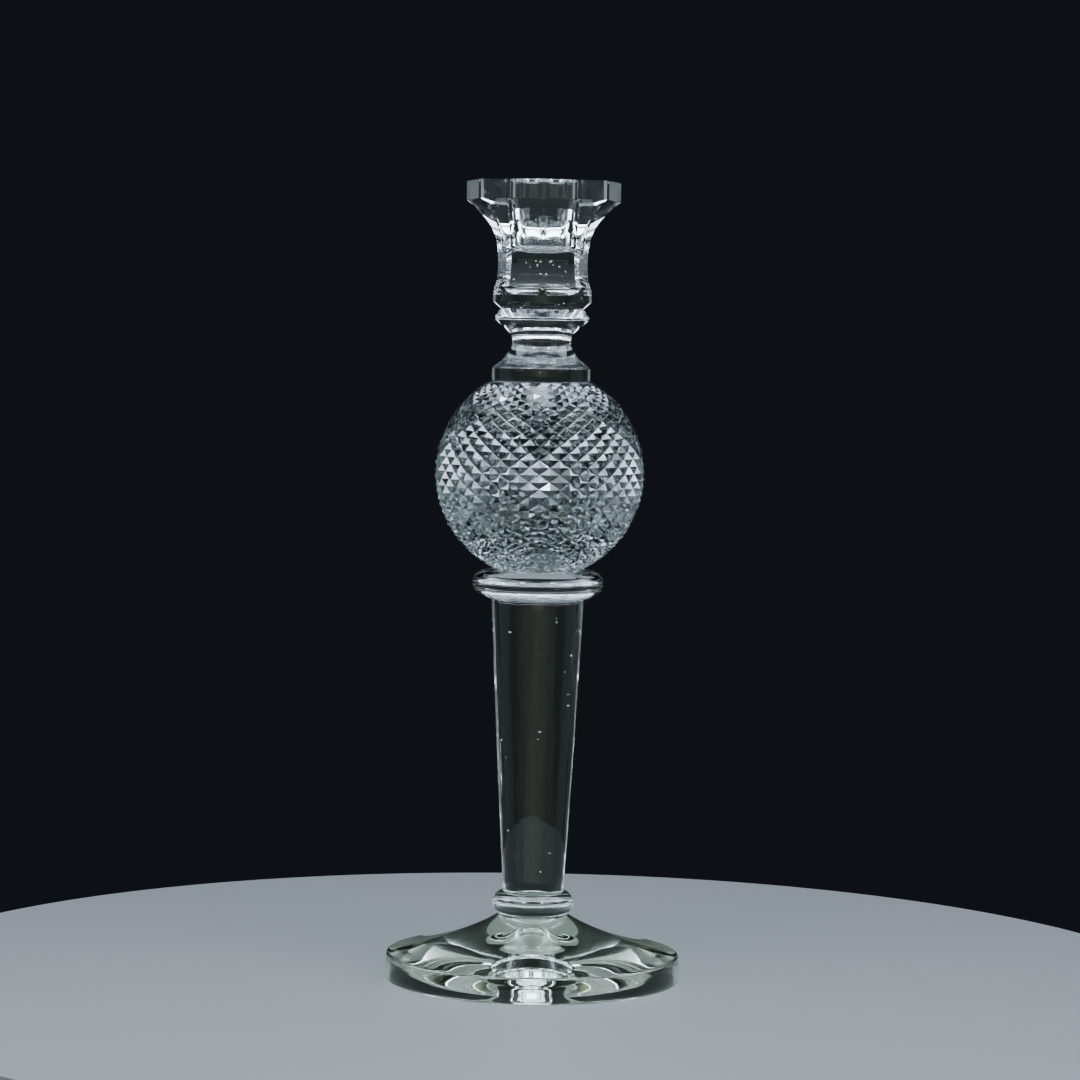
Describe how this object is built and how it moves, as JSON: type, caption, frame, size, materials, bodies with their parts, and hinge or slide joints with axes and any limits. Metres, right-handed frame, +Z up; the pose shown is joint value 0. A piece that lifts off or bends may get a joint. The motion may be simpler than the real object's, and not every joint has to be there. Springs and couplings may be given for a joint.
{
  "type": "glass candlestick",
  "caption": "Tall cut-glass candlestick: round foot, tapered stem between knops, diamond-cut ball, turned neck and faceted candle socket.",
  "frame": {"origin": "centre of the foot's underside, on the surface the candlestick stands on", "axes": "+Z up along the stick's axis; one arris of the seven-sided socket faces -Y"},
  "size_m": [0.1228, 0.1228, 0.33],
  "materials": {
    "foot_glass": "polished, faint green tint",
    "clear_glass": "polished, slightly wavy",
    "cut_glass": "wheel-cut and polished",
    "bond_layer": "clear bond between ground faces"
  },
  "bodies": {
    "root": {"foot": "foot_glass", "foot_wafer": "clear_glass", "lower_knop": "clear_glass", "stem_bottom_wafer": "clear_glass", "tapered_stem": "clear_glass", "stem_top_wafer": "clear_glass", "upper_knop": "clear_glass", "ball_bottom_bond": "bond_layer", "cut_ball": "cut_glass", "ball_top_bond": "bond_layer", "neck": "clear_glass", "socket_bond": "bond_layer", "candle_socket": "cut_glass"}
  },
  "joints": []
}
